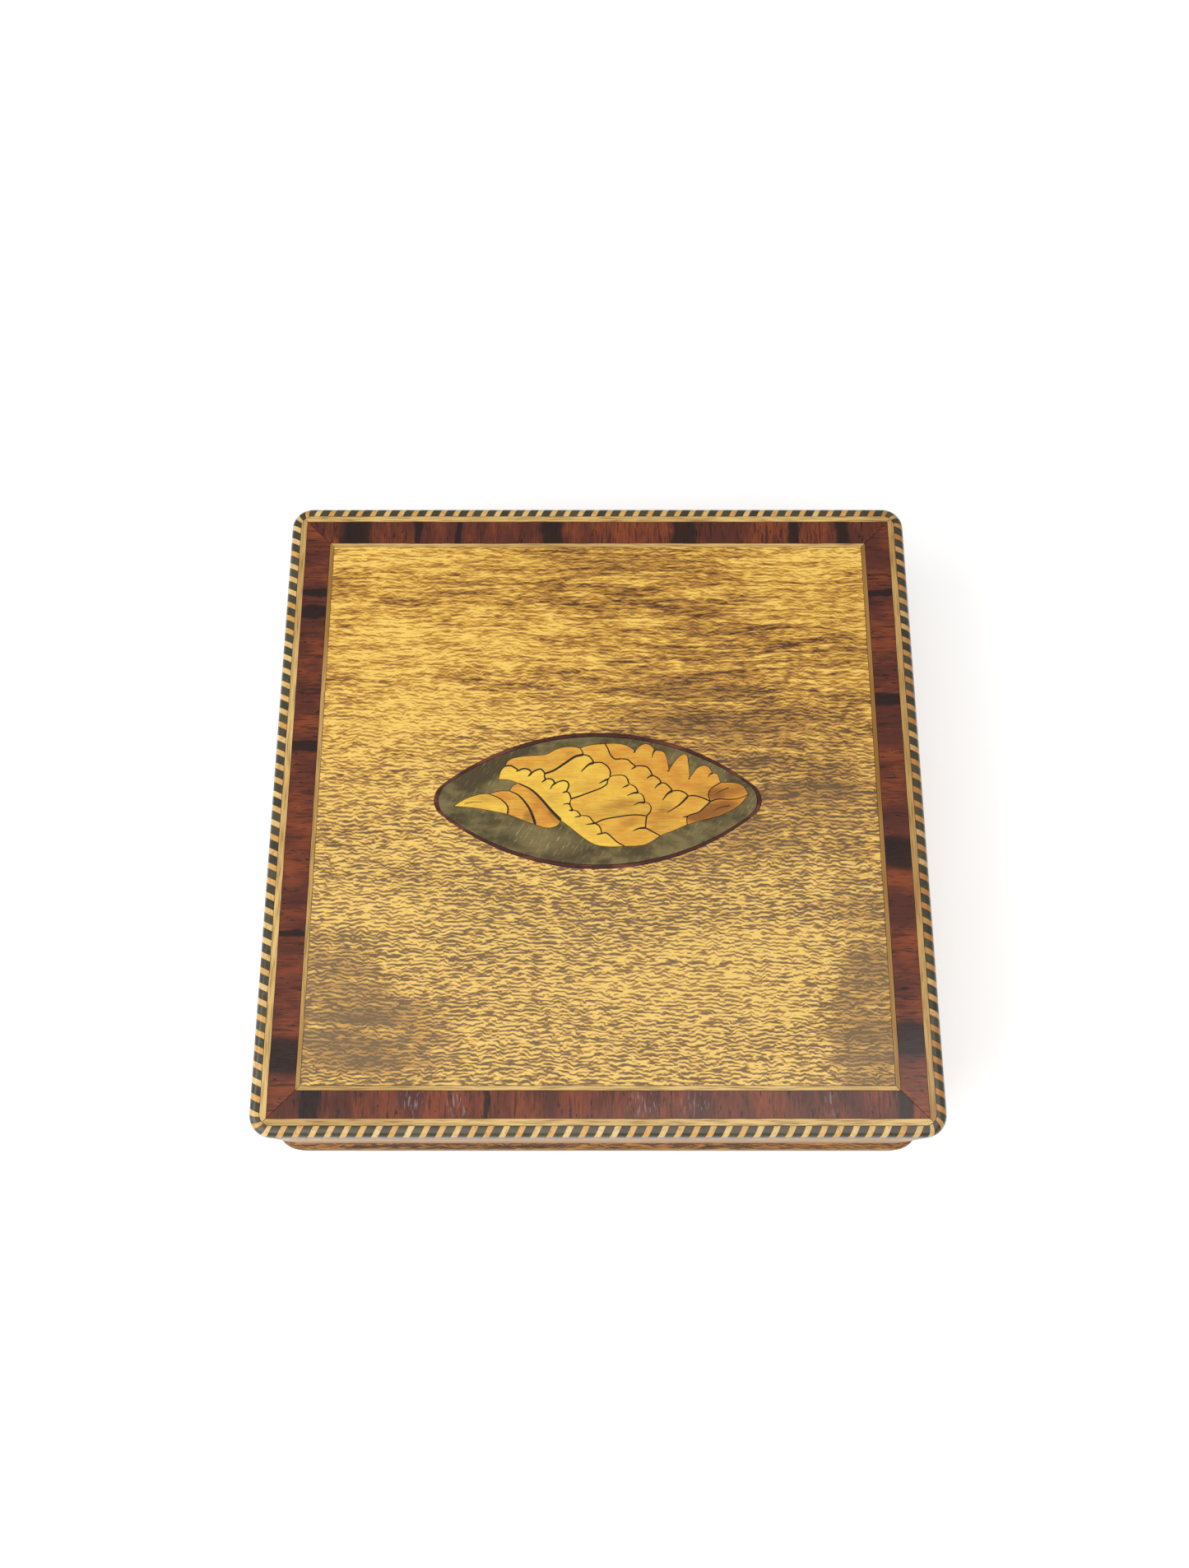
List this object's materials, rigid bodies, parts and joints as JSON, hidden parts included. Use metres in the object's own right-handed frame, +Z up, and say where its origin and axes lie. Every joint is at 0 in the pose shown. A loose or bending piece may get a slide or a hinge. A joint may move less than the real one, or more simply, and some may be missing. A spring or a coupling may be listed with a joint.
{
  "type": "inlaid wooden box",
  "caption": "Square wooden box, hinged lid inlaid with a shell in a pointed oval, crossbanding and rope stringing, sliding base that covers a hidden bolt and stop key.",
  "frame": {"origin": "centre of the base's underside, on the table", "axes": "+Z up, -Y out of the front, +X to the right, along the shell"},
  "size_m": [0.153, 0.153, 0.041],
  "materials": {
    "satinwood": "french polished satinwood, gold with short dark flecks",
    "rosewood": "french polished rosewood, cut across the grain",
    "boxwood": "polished boxwood",
    "rope_stringing": "slanted light and dark slips, polished",
    "dark_stringing": "polished dark wood",
    "green_harewood": "stained green-grey figured wood, polished",
    "shell_light": "light golden wood, sand shaded, polished",
    "shell_shaded": "golden wood, darker sand shading, polished",
    "mahogany": "plain oiled mahogany",
    "cedar": "plain cedar, unpolished",
    "brass": "aged brass"
  },
  "bodies": {
    "case": {"wall_front": "satinwood", "wall_right": "satinwood", "wall_back": "satinwood", "wall_left": "satinwood", "case_bottom": "mahogany", "compartment_floor": "cedar", "lock_strip": "cedar", "lining_left": "cedar", "lining_right": "cedar", "lining_back": "cedar", "rail_front": "mahogany", "rail_back": "mahogany", "hinge_leaf_case_left": "brass", "hinge_leaf_case_right": "brass", "hinge_pin_left": "brass", "hinge_pin_right": "brass"},
    "lid": {"lid_ground": "mahogany", "field": "satinwood", "navette_line": "dark_stringing", "shell_ground": "green_harewood", "shell_spire": "shell_light", "shell_whorl": "shell_shaded", "shell_body": "shell_shaded", "shell_lip": "shell_light", "shell_crest": "shell_shaded", "shell_fold": "shell_light", "shell_belly": "shell_shaded", "shell_base": "shell_shaded", "shell_mantle": "shell_light", "shell_plume": "shell_light", "shell_leaf_upper": "shell_shaded", "shell_leaf_lower": "shell_shaded", "crossband_front": "rosewood", "crossband_right": "rosewood", "crossband_back": "rosewood", "crossband_left": "rosewood", "inner_line_front": "boxwood", "inner_line_right": "boxwood", "inner_line_back": "boxwood", "inner_line_left": "boxwood", "outer_line_front": "boxwood", "outer_line_right": "boxwood", "outer_line_back": "boxwood", "outer_line_left": "boxwood", "rope_line_front": "rope_stringing", "rope_line_right": "rope_stringing", "rope_line_back": "rope_stringing", "rope_line_left": "rope_stringing", "hinge_leaf_lid_left": "brass", "hinge_leaf_lid_right": "brass", "catch_plate": "brass"},
    "base": {"base_plate": "mahogany", "moulding_front": "satinwood", "moulding_right": "satinwood", "moulding_back": "satinwood", "moulding_left": "satinwood"},
    "bolt": {"bolt": "brass"},
    "stop_key": {"stop_key": "brass"}
  },
  "joints": [
    {"name": "lid_hinge", "type": "hinge", "parent": "case", "child": "lid", "pos_m": [0, 0.075, 0.0351], "axis": [-1, 0, 0], "range_deg": [0, 100]},
    {"name": "base_slide", "type": "slide", "parent": "case", "child": "base", "axis": [1, 0, 0], "range_m": [0, 0.026]},
    {"name": "bolt_slide", "type": "slide", "parent": "case", "child": "bolt", "axis": [1, 0, 0], "range_m": [0, 0.006]},
    {"name": "stop_key_slide", "type": "slide", "parent": "case", "child": "stop_key", "axis": [0, -1, 0], "range_m": [0, 0.0026]}
  ]
}
